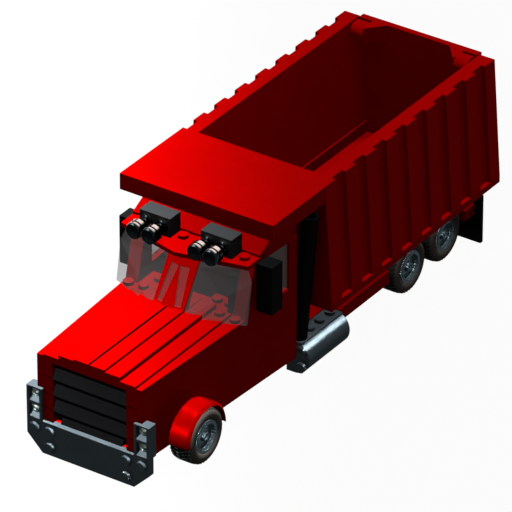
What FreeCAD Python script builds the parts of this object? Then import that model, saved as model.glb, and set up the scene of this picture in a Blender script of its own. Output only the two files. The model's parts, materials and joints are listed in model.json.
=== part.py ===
"""Brick-built toy dump truck: a long-nosed tipper lorry on a front axle and a rear tandem.

Frame: +Z up, the nose faces -Y, +X is the truck's left side, the origin lies on the floor
under the middle of the truck. Stations are measured backwards from the bumper's face and
are moved to the middle when a piece is written out. Lengths are millimetres.
"""
import os
import FreeCAD, Part

V = FreeCAD.Vector

# Building grid
PITCH = 8.0
PLATE = 3.2
STUD_RADIUS = 2.4
STUD_HEIGHT = 1.6
OVERRUN = 1.0
HALF_PITCH = PITCH / 2

# Running gear
TYRE_RADIUS = 13.0
TYRE_WIDTH = 10.4
TYRE_SHOULDER = 1.6
RIM_RADIUS = 8.6
RIM_LIP = 0.9
RIM_EDGE = 0.8
RIM_RECESS = 3.0
AXLE_RADIUS = 2.4
RUNNING_FIT = 0.08
AXLE_SETBACK = 32.9
TANDEM_GAP = 6.0
FRONT_WHEEL_GAP = 3.0
MIDDLE_WHEEL_GAP = 6.0
REAR_WHEEL_GAP = 4.0

# Bumper and lamp columns
BUMPER_CUT = 8.0
BUMPER_BOTTOM = 1.0
BUMPER_HEIGHT = 16.0
COLUMN_WIDTH = 8.0
COLUMN_DEPTH = 5.2
LAMP_COUNT = 2
LAMP_CELL = 8.0
LAMP_JAMB = 1.4
LAMP_BACK = 1.4
LAMP_SILL = 0.7
LAMP_LEDGE = 1.2
LAMP_LENS_DEPTH = 1.0
LAMP_LENS_GAP = 0.4

# Hood
HOOD_FRONT = 1.6
HOOD_LENGTH = 72.0
CROWN_SETBACK = 9.6
CROWN_HALF = 8.0
STEP_HALF = 16.0
HOOD_HALF = 24.0
HOOD_WALL = 3.2
HOOD_HEIGHT = 36.4
HOOD_STEPS = (0.8, 2.0, 0.8)
HOOD_STUD_SETBACK = 3.2
GRILLE_POST = 4.8
GRILLE_HEADER = 2.4
GRILLE_DEPTH = 8.0
GRILLE_CORNER = 3.2
GRILLE_CORNER_DEPTH = 1.6
LOUVRE_PITCH = 8.0
LOUVRE_LIP = 1.4
LOUVRE_SLOPE_DEPTH = 3.2

# Body sides, which splay outwards from the nose to the back of the cab
BODY_BOTTOM = 13.0
SIDE_WALL = 3.2
SIDE_SPLAY = 6.3
CAB_LAP = 8.0
CAB_DEPTH = 36.0
COWL_DEPTH = 11.4
COWL_STUD_SETBACK = 4.6
COWL_STUD_SPACING = 6.5
PILLAR_TOE = 0.7
PILLAR_RUN = 7.2
CORNER_GAP = 1.0
SILL_RISE = 1.1
WINDOW_POST = 5.6
WINDOW_PILLAR = 3.9
WINDOW_HEADER = 1.3
PANE_INSET = 1.0
PANE_THICK = 1.2
POST_RADIUS = 2.0
POST_FLANGE_RADIUS = 2.5
POST_FLANGE = 1.2
POST_HEIGHT = 18.6
POST_GAP = 0.2
POST_SETBACK = 3.4

# Visor, roof and screen
SCREEN_HEIGHT = 25.9
VISOR_THICK = 2.0
VISOR_DEPTH = 16.6
VISOR_SWEEP = 7.8
VISOR_INSET = 0.3
ROOF_LIP = 1.2
ROOF_RISE = 8.1
ROOF_FLAT = 12.0
ROOF_SKIN = 1.6
CENTRE_SETBACK = 5.0
CENTRE_SWEEP = 1.8
CENTRE_RUN = 14.3
STRIP_DEPTH = 1.0
STRIP_FOOT = (3.4, 6.2)
STRIP_HEAD = (0.4, 4.7)
STRIP_FOOT_RISE = 0.6
STRIP_HEAD_RISE = 15.5
GLASS_GAP = 0.05
GLASS_THICK = 1.2
GLASS_OVERHANG = 0.5
GLASS_TOP_INSET = 2.2
GLASS_BEND_RISE = 19.2
GLASS_FOOT_RUNS = (0, 10.9)
GLASS_BEND_RUNS = (12.3, 14.2)
GLASS_HEAD_RUNS = (16.6, 15.2)

# Roof lamps and mirrors
BOX_DEPTH = 8.0
BOX_INNER = 8.0
BOX_WIDTH = 16.0
BOX_HEIGHT = 9.4
ROOF_LAMP_GAP = 0.2
ROOF_LAMP_SHARES = (0.25, 0.75)
ROOF_LAMP_LENGTH = 11.2
ROOF_LAMP_HEAD = 6.2
ROOF_LAMP_NECK = 1.9
ROOF_LAMP_FLANGE_RADIUS = 2.9
ROOF_LAMP_FLANGE = 1.0
MIRROR_REACH = 6.5
MIRROR_DEPTH = 8.0
MIRROR_LEAD = 3.1
MIRROR_RISE = 1.5
MIRROR_HEIGHT = 23.6

# Front mudguards
GUARD_GAP = 0.5
GUARD_LIFT = 0.9
GUARD_THICK = 1.3
GUARD_MARGIN = 1.1
GUARD_CHAMFER = 1.2
ARCH_GAP = 1.0

# Chassis
DECK_DROP = 0.8
DECK_THICK = 6.4
DECK_INSET = 0.4
DECK_TYRE_GAP = 3.0
BEAM_HALF = 16.0
CARRIER_DROP = 3.2
CARRIER_HALF_LENGTH = 8.0
RAIL_INNER = 8.0
RAIL_HEIGHT = 14.6
RAIL_SETBACK = 4.0
REST_LENGTH = 16.0
REST_THICK = 0.4
PIN_RADIUS = 2.0
HINGE_SETBACK = 8.0
HINGE_BOSS = 3.6
LUG_GAP = 0.4
LUG_WIDTH = 4.4
TANK_INSET = 3.9
TANK_RADIUS = 8.0
TANK_BOTTOM = 2.0
TANK_SETBACK = 4.0
TANK_LENGTH = 32.0
TANK_NECK = 4.0
PIPE_RADIUS = 3.6
PIPE_BORE = 2.8
PIPE_BORE_DEPTH = 8.0
PIPE_DROP = 5.9
PIPE_LEAN = 5.6
PIPE_GAP = 0.4
FLAP_WIDTH = 15.8
FLAP_INSET = 4.6
FLAP_OVERHANG = 3.4
FLAP_BOTTOM = 3.8
FLAP_HEIGHT = 24.2
FLAP_THICK = 2.0
FLAP_TYRE_GAP = 0.6
FLAP_ARM_LAP = 0.6
FLAP_ARM_HEIGHT = 5.2
FLAP_BEAM = 2.4

# Tipping bed
BED_LENGTH = 136.0
RIM_IN = 32.0
RIM_WIDTH = 8.0
BED_LEAN = 4.0
INNER_LEAN = 4.0
SHELF_STEP = 0.7
SHELF_RISE = 5.8
RIB_WIDTH = 8.0
RIB_GAP = 8.0
RIB_DEPTH = 2.1
FRONT_WALL = 8.0
CANOPY_THICK = 8.0
ROOF_GAP = 0.8

# Tailgate
GATE_INSET = 0.8
GATE_GAP = 0.4
GATE_HINGE_SETBACK = 4.8
GATE_KNUCKLE = 4.0
GATE_ARM_INSET = 8.0
GATE_TOE = 7.5
GATE_SLOT_WIDTH = 1.8
GATE_SLOT_DEPTH = 3.4
GATE_SLOT_WALL = 0.4
GATE_PIN_RADIUS = 1.6
GATE_PIN_REACH = 5.0

# Heights worked out from the sizes above
TYRE_CENTRE_Z = TYRE_RADIUS
BUMPER_TOP = BUMPER_BOTTOM + BUMPER_HEIGHT
HOOD_EDGE = BODY_BOTTOM + HOOD_HEIGHT
CROWN_TOP = HOOD_EDGE + sum(HOOD_STEPS)
GRILLE_TOP = HOOD_EDGE - GRILLE_HEADER
LOUVRE_SLOPE_RISE = LOUVRE_PITCH - LOUVRE_LIP
LAMP_OPENING = LAMP_CELL - LAMP_SILL - LAMP_SILL
LAMP_LENS_RADIUS = (LAMP_OPENING - LAMP_LEDGE) / 2 - LAMP_LENS_GAP
SILL = HOOD_EDGE + SILL_RISE
VISOR_BOTTOM = HOOD_EDGE + SCREEN_HEIGHT
VISOR_TOP = VISOR_BOTTOM + VISOR_THICK
WINDOW_HEAD = VISOR_BOTTOM - WINDOW_HEADER
ROOF_TOP = VISOR_TOP + ROOF_LIP + ROOF_RISE
CANOPY_BOTTOM = ROOF_TOP + ROOF_GAP
BED_RIM = CANOPY_BOTTOM + CANOPY_THICK
DECK_BOTTOM = TYRE_CENTRE_Z - DECK_DROP
DECK_TOP = DECK_BOTTOM + DECK_THICK
RAIL_TOP = DECK_TOP + RAIL_HEIGHT
BED_BOTTOM = RAIL_TOP + REST_THICK
BED_FLOOR = BED_BOTTOM + PLATE
SHELF_Z = BED_FLOOR + SHELF_RISE
HINGE_Z = RAIL_TOP - HINGE_BOSS
GATE_HINGE_Z = BED_RIM - GATE_KNUCKLE
TANK_TOP = TANK_BOTTOM + TANK_RADIUS + TANK_RADIUS
FLAP_ARM_BOTTOM = DECK_TOP - FLAP_ARM_LAP
PIPE_TOP = CANOPY_BOTTOM - PIPE_DROP

# Stations worked out from the sizes above
HOOD_REAR = HOOD_FRONT + HOOD_LENGTH
CROWN_REAR = HOOD_REAR - CROWN_SETBACK
CAB_FRONT = HOOD_REAR - CAB_LAP
CAB_REAR = HOOD_REAR + CAB_DEPTH
COWL_REAR = HOOD_REAR + COWL_DEPTH
PILLAR_FOOT = HOOD_REAR - PILLAR_TOE
PILLAR_HEAD = PILLAR_FOOT + PILLAR_RUN
WINDOW_FRONT = PILLAR_HEAD + WINDOW_PILLAR
WINDOW_REAR = CAB_REAR - WINDOW_POST
SCREEN_FOOT = CROWN_REAR - CENTRE_SETBACK
VISOR_REAR = HOOD_REAR + BOX_DEPTH
VISOR_APEX = VISOR_REAR - VISOR_DEPTH
VISOR_CORNER = VISOR_APEX + VISOR_SWEEP
ROOF_CREST = CAB_REAR - ROOF_FLAT
TANK_FRONT = CAB_REAR + TANK_SETBACK
TANK_REAR = TANK_FRONT + TANK_LENGTH
PIPE_Y = TANK_FRONT + HALF_PITCH
BED_FRONT = PIPE_Y + PIPE_RADIUS + PIPE_GAP
BED_REAR = BED_FRONT + BED_LENGTH
RAIL_FRONT = BED_FRONT + RAIL_SETBACK
HINGE_Y = BED_REAR - HINGE_SETBACK
FLAP_FRONT = HINGE_Y
GATE_INSIDE = BED_REAR - GATE_INSET
GATE_OUTSIDE = GATE_INSIDE + PLATE
GATE_HINGE_Y = GATE_INSIDE - GATE_HINGE_SETBACK
FRONT_AXLE_Y = HOOD_FRONT + AXLE_SETBACK
REAR_AXLE_Y = FLAP_FRONT - FLAP_BEAM - FLAP_TYRE_GAP - TYRE_RADIUS
MIDDLE_AXLE_Y = REAR_AXLE_Y - TYRE_RADIUS - TYRE_RADIUS - TANDEM_GAP
DECK_REAR = MIDDLE_AXLE_Y - TYRE_RADIUS - DECK_TYRE_GAP
MIDDLE_Y = (GATE_OUTSIDE - STUD_HEIGHT) / 2

# Widths worked out from the sizes above
BUMPER_HALF = HOOD_HALF + COLUMN_WIDTH
LAMP_X = BUMPER_HALF - COLUMN_WIDTH / 2
LAMP_WIDTH = COLUMN_WIDTH - LAMP_JAMB - LAMP_JAMB
LAMP_POCKET = COLUMN_DEPTH - LAMP_BACK
RIM_OUT = RIM_IN + RIM_WIDTH
FRONT_WHEEL_FACE = HOOD_HALF + FRONT_WHEEL_GAP + TYRE_WIDTH
MIDDLE_WHEEL_FACE = BEAM_HALF + MIDDLE_WHEEL_GAP + TYRE_WIDTH
REAR_WHEEL_FACE = BEAM_HALF + REAR_WHEEL_GAP + TYRE_WIDTH
DECK_HALF = MIDDLE_WHEEL_FACE - DECK_INSET
ROOF_LAMP_RADIUS = (BOX_WIDTH / 2 - ROOF_LAMP_GAP) / 2
CORNER_INNER = HOOD_HALF + CORNER_GAP
POST_X = CORNER_INNER - POST_GAP - POST_FLANGE_RADIUS
GRILLE_HALF = HOOD_HALF - GRILLE_POST
SIDE_FRONT_HALF = HOOD_HALF + SIDE_WALL
SIDE_REAR_HALF = SIDE_FRONT_HALF + SIDE_SPLAY
VISOR_HALF = SIDE_REAR_HALF - VISOR_INSET
TANK_CENTRE_X = SIDE_REAR_HALF - TANK_INSET
GLASS_HALF = SIDE_REAR_HALF + GLASS_OVERHANG
GLASS_TOP_HALF = VISOR_HALF - GLASS_TOP_INSET
FOOT_OUT = RIM_OUT + BED_LEAN
SHELF_IN = RIM_IN - INNER_LEAN
FOOT_IN = SHELF_IN - SHELF_STEP
LUG_INNER = BEAM_HALF + LUG_GAP
LUG_OUTER = LUG_INNER + LUG_WIDTH
FLAP_OUTER = FOOT_OUT - FLAP_INSET
FLAP_INNER = FLAP_OUTER - FLAP_WIDTH
FLAP_ARM_OUT = FLAP_OUTER - FLAP_OVERHANG
GUARD_INNER_RADIUS = TYRE_RADIUS + GUARD_GAP
GUARD_RADIUS = GUARD_INNER_RADIUS + GUARD_THICK
GUARD_OUT = FRONT_WHEEL_FACE + GUARD_MARGIN
GATE_ARM_IN = RIM_IN - GATE_ARM_INSET


# Shapes
def box(x0, x1, y0, y1, z0, z1):
    """A block between two corners."""
    return Part.makeBox(x1 - x0, y1 - y0, z1 - z0, V(x0, y0, z0))


def rod(axis, start, end, radius, a, b):
    """A round bar along X, Y or Z; a and b are its other two coordinates in order."""
    base = {"x": V(start, a, b), "y": V(a, start, b), "z": V(a, b, start)}[axis]
    way = {"x": V(1, 0, 0), "y": V(0, 1, 0), "z": V(0, 0, 1)}[axis]
    return Part.makeCylinder(radius, end - start, base, way)


def flat(points):
    """A face with the given corners."""
    return Part.Face(Part.makePolygon(points + points[:1]))


def prism(plane, points, start, end):
    """An outline in the named plane, drawn out along the third axis."""
    reach = end - start
    if plane == "xy":
        return flat([V(p, q, start) for p, q in points]).extrude(V(0, 0, reach))
    if plane == "xz":
        return flat([V(p, start, q) for p, q in points]).extrude(V(0, reach, 0))
    return flat([V(start, p, q) for p, q in points]).extrude(V(reach, 0, 0))


def turned(axis, section, angle=360):
    """A section of (distance along the axis, radius) points turned about X or Y at the origin.

    A part turn about X starts at the front and goes over the top.
    """
    if axis == "x":
        face = flat([V(along, -radius, 0) for along, radius in section])
        return face.revolve(V(0, 0, 0), V(-1, 0, 0), angle)
    face = flat([V(radius, along, 0) for along, radius in section])
    return face.revolve(V(0, 0, 0), V(0, 1, 0), angle)


def fuse(shapes):
    """One solid from touching shapes."""
    first = shapes[0]
    return first.fuse(shapes[1:]).removeSplitter() if len(shapes) > 1 else first


def across(shape):
    """The same shape on the truck's other side."""
    return shape.mirror(V(0, 0, 0), V(1, 0, 0))


def both_sides(shape):
    """A left piece and its mirror image, as two solids of one node."""
    return Part.makeCompound([shape, across(shape)])


def studs_up(places, z):
    """Upright studs at (x, y) places."""
    return [rod("z", z, z + STUD_HEIGHT, STUD_RADIUS, x, y) for x, y in places]


def studs_forward(places, y):
    """Studs facing forwards at (x, z) places on a face at station y."""
    return [rod("y", y - STUD_HEIGHT, y, STUD_RADIUS, x, z) for x, z in places]


def side_half(y):
    """Outer half width of the splayed body sides at a station."""
    return SIDE_FRONT_HALF + SIDE_SPLAY * (y - HOOD_FRONT) / (CAB_REAR - HOOD_FRONT)


def side_inside(y):
    """Inner half width of the splayed body sides at a station."""
    return side_half(y) - SIDE_WALL


def between_sides(y0, y1, z0, z1):
    """A plate that fills the body between its side walls."""
    left = [(side_inside(y0), y0), (side_inside(y1), y1)]
    right = [(-x, y) for x, y in reversed(left)]
    return prism("xy", left + right, z0, z1)


def side_strip(y0, y1, z0, z1, inset=0, thick=SIDE_WALL):
    """A stretch of the left body side between two stations and two heights."""
    outer = [(side_half(y0) - inset, y0), (side_half(y1) - inset, y1)]
    inner = [(x - thick, y) for x, y in reversed(outer)]
    return prism("xy", outer + inner, z0, z1)


# Wheels and axles
def tyre(face):
    """A tyre with a bevelled outer shoulder; face is its outer side's distance from the middle."""
    inner = face - TYRE_WIDTH
    section = [(inner, RIM_RADIUS), (inner, TYRE_RADIUS), (face - TYRE_SHOULDER, TYRE_RADIUS),
               (face, TYRE_RADIUS - TYRE_SHOULDER), (face, RIM_RADIUS)]
    return turned("x", section)


def rim(face):
    """A rim with a deep face, bored for the axle, whose end stands in the face as the hub."""
    inner = face - TYRE_WIDTH
    lip = face - RIM_LIP
    dish = lip - RIM_RECESS
    mouth = RIM_RADIUS - RIM_EDGE
    section = [(inner, AXLE_RADIUS), (inner, RIM_RADIUS), (lip, RIM_RADIUS), (lip, mouth), (dish, mouth),
               (dish, AXLE_RADIUS)]
    return turned("x", section)


def axle_set(name, y, face):
    """An axle and its two wheels, which turn together."""
    place = V(0, y, TYRE_CENTRE_Z)
    shaft_end = face - RIM_LIP
    pieces = {
        name + "_axle": rod("x", -shaft_end, shaft_end, AXLE_RADIUS, 0, 0),
        name + "_rims": both_sides(rim(face)),
        name + "_tyres": both_sides(tyre(face)),
    }
    return {key: shape.translated(place) for key, shape in pieces.items()}


# Nose
def bumper():
    """Broad bumper plate with cut lower corners and studs on its outer ends."""
    low = BUMPER_BOTTOM
    cut = BUMPER_CUT
    half = BUMPER_HALF
    outline = [(-half, low + cut), (-half + cut, low), (half - cut, low), (half, low + cut),
               (half, BUMPER_TOP), (-half, BUMPER_TOP)]
    plate = prism("xz", outline, 0, PLATE)
    high_row = BUMPER_TOP - HALF_PITCH
    end_column = half - HALF_PITCH
    places = [(end_column, high_row), (end_column - PITCH, high_row), (end_column - PITCH, high_row - PITCH)]
    places += [(-x, z) for x, z in places]
    return fuse([plate] + studs_forward(places, 0))


def lamp_bases():
    """Bottom of each lamp's cell on a column."""
    return [BUMPER_TOP + LAMP_CELL * step for step in range(LAMP_COUNT)]


def lamp_column():
    """The left lamp column with a pocket for each of its two lamps."""
    return column_block().cut([lamp_pocket(base) for base in lamp_bases()])


def column_block():
    """The left lamp column's outer block."""
    return box(HOOD_HALF, BUMPER_HALF, 0, COLUMN_DEPTH, BUMPER_TOP, BUMPER_TOP + LAMP_CELL * LAMP_COUNT)


def lamp_pocket(base):
    """The hollow that holds one lamp, with a ledge that rises to its back."""
    half = LAMP_WIDTH / 2
    sill = base + LAMP_SILL
    top = sill + LAMP_OPENING
    outline = [(-OVERRUN, sill), (0, sill), (LAMP_POCKET, sill + LAMP_LEDGE), (LAMP_POCKET, top),
               (-OVERRUN, top)]
    return prism("yz", outline, LAMP_X - half, LAMP_X + half)


def lamp_lens(base):
    """A clear round lens seated on the pocket's back."""
    z = base + LAMP_SILL + (LAMP_OPENING + LAMP_LEDGE) / 2
    return rod("y", LAMP_POCKET - LAMP_LENS_DEPTH, LAMP_POCKET, LAMP_LENS_RADIUS, LAMP_X, z)


def lamp_lenses():
    """All four clear lenses."""
    left = [lamp_lens(base) for base in lamp_bases()]
    return Part.makeCompound(left + [across(lens) for lens in left])


def nose_seats():
    """The room that the bumper and the lamp columns take out of the body."""
    behind_bumper = box(-BUMPER_HALF, BUMPER_HALF, 0, PLATE, 0, BUMPER_TOP)
    return [behind_bumper, column_block(), across(column_block())]


def hood_outline(drop):
    """Stepped hood profile, lowered and narrowed by drop."""
    z = HOOD_EDGE - drop
    outer, middle, inner = HOOD_STEPS
    levels = (z + outer, z + outer + middle, z + outer + middle + inner)
    half = HOOD_HALF - drop
    right = [(half, levels[0]), (STEP_HALF, levels[0]), (STEP_HALF, levels[1]), (CROWN_HALF, levels[1]),
             (CROWN_HALF, levels[2])]
    left = [(-x, top) for x, top in reversed(right)]
    return [(-half, BODY_BOTTOM), (half, BODY_BOTTOM)] + right + left


def hood():
    """Hood core: stepped top, side walls and posts round the grille opening."""
    core = prism("xz", hood_outline(0), HOOD_FRONT, HOOD_REAR)
    behind_grille = HOOD_FRONT + GRILLE_DEPTH
    rear = HOOD_REAR + OVERRUN
    ceiling = HOOD_EDGE - HOOD_WALL
    inside = HOOD_HALF - HOOD_WALL
    room = prism("xz", hood_outline(HOOD_WALL), behind_grille, rear).translated(V(0, 0, -OVERRUN))
    under = box(-inside, inside, behind_grille, rear, BODY_BOTTOM - OVERRUN, ceiling)
    over_cab = box(-HOOD_HALF, HOOD_HALF, CAB_FRONT, rear, BODY_BOTTOM, ceiling)
    notch = box(-CROWN_HALF, CROWN_HALF, CROWN_REAR, rear, BODY_BOTTOM, CROWN_TOP)
    mouth = box(-GRILLE_HALF, GRILLE_HALF, HOOD_FRONT - OVERRUN, behind_grille + OVERRUN,
                BUMPER_TOP, GRILLE_TOP)
    shell = core.cut([room, under, over_cab, notch, mouth, axle_bore(FRONT_AXLE_Y)] + nose_seats())
    stud_x = HOOD_HALF - HALF_PITCH
    stud_y = HOOD_REAR - HOOD_STUD_SETBACK
    return fuse([shell] + studs_up([(stud_x, stud_y), (-stud_x, stud_y)], HOOD_EDGE + HOOD_STEPS[0]))


def louvre(z):
    """One louvre: an upright lip with its slope falling back above it."""
    front = HOOD_FRONT
    back = HOOD_FRONT + GRILLE_DEPTH
    lip_top = z + LOUVRE_LIP
    outline = [(front, z), (front, lip_top), (front + LOUVRE_SLOPE_DEPTH, lip_top + LOUVRE_SLOPE_RISE),
               (back, lip_top + LOUVRE_SLOPE_RISE), (back, z)]
    return prism("yz", outline, -GRILLE_HALF, GRILLE_HALF)


def grille():
    """Louvres one above the other down to the bumper, where the lowest has its corners cut out."""
    top_lip = GRILLE_TOP - LOUVRE_LIP
    steps = int((GRILLE_TOP - BUMPER_TOP) / LOUVRE_PITCH)
    stack = fuse([louvre(top_lip - LOUVRE_PITCH * row) for row in range(steps + 2)])
    frame = box(-GRILLE_HALF, GRILLE_HALF, 0, HOOD_FRONT + GRILLE_DEPTH, BUMPER_TOP, GRILLE_TOP)
    corner = box(GRILLE_HALF - GRILLE_CORNER, GRILLE_HALF, 0, PLATE + GRILLE_CORNER_DEPTH,
                 BUMPER_TOP, BUMPER_TOP + GRILLE_CORNER)
    return stack.common(frame).cut([corner, across(corner)])


def hood_side():
    """Left hood side panel with its wheel arch."""
    panel = side_strip(HOOD_FRONT, CAB_FRONT, BODY_BOTTOM, HOOD_EDGE)
    arch = rod("x", 0, FRONT_WHEEL_FACE, TYRE_RADIUS + ARCH_GAP, FRONT_AXLE_Y, TYRE_CENTRE_Z)
    return panel.cut([arch] + nose_seats())


def hood_shoulder():
    """Left wedge between the hood's core and the splayed side panel, with its stud."""
    outline = [(HOOD_HALF, HOOD_FRONT), (side_inside(HOOD_REAR), HOOD_REAR), (HOOD_HALF, HOOD_REAR)]
    wedge = prism("xy", outline, HOOD_EDGE - PLATE, HOOD_EDGE)
    return fuse([wedge] + studs_up([shoulder_stud()], HOOD_EDGE))


def shoulder_stud():
    """Place of the stud on the left shoulder."""
    return (HOOD_HALF + HALF_PITCH, HOOD_REAR - HOOD_STUD_SETBACK)


def mudguard():
    """Left round mudguard over the front wheel, bevelled at its outer lip."""
    bevel_start = GUARD_OUT - GUARD_CHAMFER
    section = [(HOOD_HALF, GUARD_INNER_RADIUS), (HOOD_HALF, GUARD_RADIUS), (bevel_start, GUARD_RADIUS),
               (GUARD_OUT, GUARD_RADIUS - GUARD_CHAMFER), (GUARD_OUT, GUARD_INNER_RADIUS)]
    ring = turned("x", section, 180).translated(V(0, FRONT_AXLE_Y, TYRE_CENTRE_Z + GUARD_LIFT))
    y0 = FRONT_AXLE_Y - GUARD_RADIUS - OVERRUN
    y1 = FRONT_AXLE_Y + GUARD_RADIUS + OVERRUN
    outline = [(0, y0), (side_half(y0), y0), (side_half(y1), y1), (0, y1)]
    return ring.cut(prism("xy", outline, 0, HOOD_EDGE))


# Cab
def cab_side():
    """Left cab side with a raked front edge and its window cut."""
    panel = side_strip(CAB_FRONT, CAB_REAR, BODY_BOTTOM, VISOR_BOTTOM)
    over = PILLAR_HEAD + PILLAR_RUN * OVERRUN / SCREEN_HEIGHT
    front = CAB_FRONT - OVERRUN
    nose = prism("yz", [(front, HOOD_EDGE), (PILLAR_FOOT, HOOD_EDGE), (over, VISOR_BOTTOM + OVERRUN),
                        (front, VISOR_BOTTOM + OVERRUN)], 0, SIDE_REAR_HALF)
    window = box(0, SIDE_REAR_HALF + OVERRUN, WINDOW_FRONT, WINDOW_REAR, SILL, WINDOW_HEAD)
    return panel.cut([nose, window])


def window_pane():
    """Left side window's clear pane, set a little inside the panel's face."""
    return side_strip(WINDOW_FRONT, WINDOW_REAR, SILL, WINDOW_HEAD, PANE_INSET, PANE_THICK)


def corner_pillar():
    """Left slope brick beside the screen, raked like the cab side that it stands against."""
    outline = [(PILLAR_FOOT, HOOD_EDGE), (PILLAR_HEAD, VISOR_BOTTOM), (WINDOW_FRONT, VISOR_BOTTOM),
               (WINDOW_FRONT, HOOD_EDGE)]
    block = prism("yz", outline, CORNER_INNER, SIDE_REAR_HALF)
    return block.common(between_sides(CAB_FRONT, CAB_REAR, HOOD_EDGE, VISOR_BOTTOM))


def cab_rear():
    """Back wall of the cab between its sides."""
    return between_sides(CAB_REAR - PLATE, CAB_REAR, DECK_TOP, VISOR_BOTTOM)


def cab_floor():
    """Floor plate of the cab between its sides."""
    return between_sides(CAB_FRONT, CAB_REAR - PLATE, DECK_TOP, DECK_TOP + PLATE)


def cowl():
    """Studded cowl plates on either side of a slot, joined by a plate below them."""
    top = between_sides(HOOD_REAR, COWL_REAR, HOOD_EDGE - PLATE, HOOD_EDGE)
    under = HOOD_EDGE - PLATE
    slot = box(-CROWN_HALF, CROWN_HALF, HOOD_REAR - OVERRUN, COWL_REAR + OVERRUN, under, HOOD_EDGE)
    bridge = box(-STEP_HALF, STEP_HALF, HOOD_REAR, COWL_REAR, under - PLATE, under)
    first = CROWN_HALF + HALF_PITCH
    row = COWL_REAR - COWL_STUD_SETBACK
    places = [(first, row), (first + COWL_STUD_SPACING, row)]
    places += [(-x, y) for x, y in places]
    return fuse([top.cut(slot), bridge] + studs_up(places, HOOD_EDGE))


def screen_post():
    """Round post behind the left screen pane, with a flange at its foot."""
    y = HOOD_REAR + POST_SETBACK
    flange = rod("z", HOOD_EDGE, HOOD_EDGE + POST_FLANGE, POST_FLANGE_RADIUS, POST_X, y)
    bar = rod("z", HOOD_EDGE, HOOD_EDGE + POST_HEIGHT, POST_RADIUS, POST_X, y)
    return fuse([flange, bar])


def centre_slab(thick):
    """Left half of the centre pillar's raked slab, from its front face to a depth."""
    rise = VISOR_BOTTOM - CROWN_TOP
    foot = [(0, SCREEN_FOOT), (CROWN_HALF, SCREEN_FOOT + CENTRE_SWEEP)]
    foot += [(x, y + thick) for x, y in reversed(foot)]
    return flat([V(x, y, CROWN_TOP) for x, y in foot]).extrude(V(0, CENTRE_RUN, rise))


def pillar_strip():
    """Left clear strip let in flush with the centre pillar's front face."""
    low = CROWN_TOP + STRIP_FOOT_RISE
    high = CROWN_TOP + STRIP_HEAD_RISE
    outline = [(STRIP_FOOT[0], low), (STRIP_FOOT[1], low), (STRIP_HEAD[1], high), (STRIP_HEAD[0], high)]
    return prism("xz", outline, HOOD_FRONT, CAB_REAR).common(centre_slab(STRIP_DEPTH))


def centre_pillar():
    """Raked pillar in the middle of the screen, recessed for its two clear strips."""
    slab = fuse([centre_slab(SIDE_WALL), across(centre_slab(SIDE_WALL))])
    return slab.cut([pillar_strip(), across(pillar_strip())])


def glass_line(z, half, runs):
    """The screen pane's corners at one height, round from its inner front edge."""
    inner = V(CROWN_HALF + GLASS_GAP, SCREEN_FOOT + runs[0], z)
    outer = V(half, SCREEN_FOOT + runs[1], z)
    back = V(0, GLASS_THICK, 0)
    return [inner, outer, outer + back, inner + back]


def screen_pane():
    """Left clear pane of the split screen, bent below its head, which stands on the hood's strips."""
    lines = [glass_line(HOOD_EDGE, GLASS_HALF, GLASS_FOOT_RUNS),
             glass_line(HOOD_EDGE + GLASS_BEND_RISE, GLASS_HALF, GLASS_BEND_RUNS),
             glass_line(VISOR_BOTTOM, GLASS_TOP_HALF, GLASS_HEAD_RUNS)]
    faces = [flat(lines[0]), flat(lines[-1])]
    for low, high in zip(lines, lines[1:]):
        for a, b, c, d in zip(low, low[1:] + low[:1], high, high[1:] + high[:1]):
            faces += [flat([a, b, d]), flat([a, d, c])]
    pane = Part.Solid(Part.Shell(faces))
    x, y = shoulder_stud()
    stud_room = rod("z", HOOD_EDGE, HOOD_EDGE + STUD_HEIGHT + GLASS_GAP, STUD_RADIUS + GLASS_GAP, x, y)
    return pane.cut([hood(), stud_room])


def visor():
    """Pointed visor plate with its studs."""
    outline = [(0, VISOR_APEX), (VISOR_HALF, VISOR_CORNER), (VISOR_HALF, VISOR_REAR),
               (-VISOR_HALF, VISOR_REAR), (-VISOR_HALF, VISOR_CORNER)]
    plate = prism("xy", outline, VISOR_BOTTOM, VISOR_TOP)
    row = VISOR_REAR - HALF_PITCH
    outer = BOX_INNER + BOX_WIDTH + HALF_PITCH
    places = [(x, row) for x in (HALF_PITCH, -HALF_PITCH, outer, -outer)]
    return fuse([plate] + studs_up(places, VISOR_TOP))


def roof():
    """Roof that rises from the visor to a flat top, hollow below."""
    half = VISOR_HALF
    lip = VISOR_TOP + ROOF_LIP
    skin = ROOF_SKIN
    outline = [(VISOR_REAR, VISOR_BOTTOM), (VISOR_REAR, lip), (ROOF_CREST, ROOF_TOP),
               (CAB_REAR, ROOF_TOP), (CAB_REAR, VISOR_BOTTOM)]
    rear_inside = CAB_REAR - SIDE_WALL
    below = VISOR_BOTTOM - OVERRUN
    room = [(VISOR_REAR + skin, below), (VISOR_REAR + skin, lip - skin / 2),
            (ROOF_CREST + skin / 2, ROOF_TOP - skin), (rear_inside, ROOF_TOP - skin), (rear_inside, below)]
    return prism("yz", outline, -half, half).cut(prism("yz", room, -half + SIDE_WALL, half - SIDE_WALL))


def lamp_box():
    """Left roof lamp box."""
    return box(BOX_INNER, BOX_INNER + BOX_WIDTH, HOOD_REAR, VISOR_REAR, VISOR_TOP, VISOR_TOP + BOX_HEIGHT)


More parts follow.
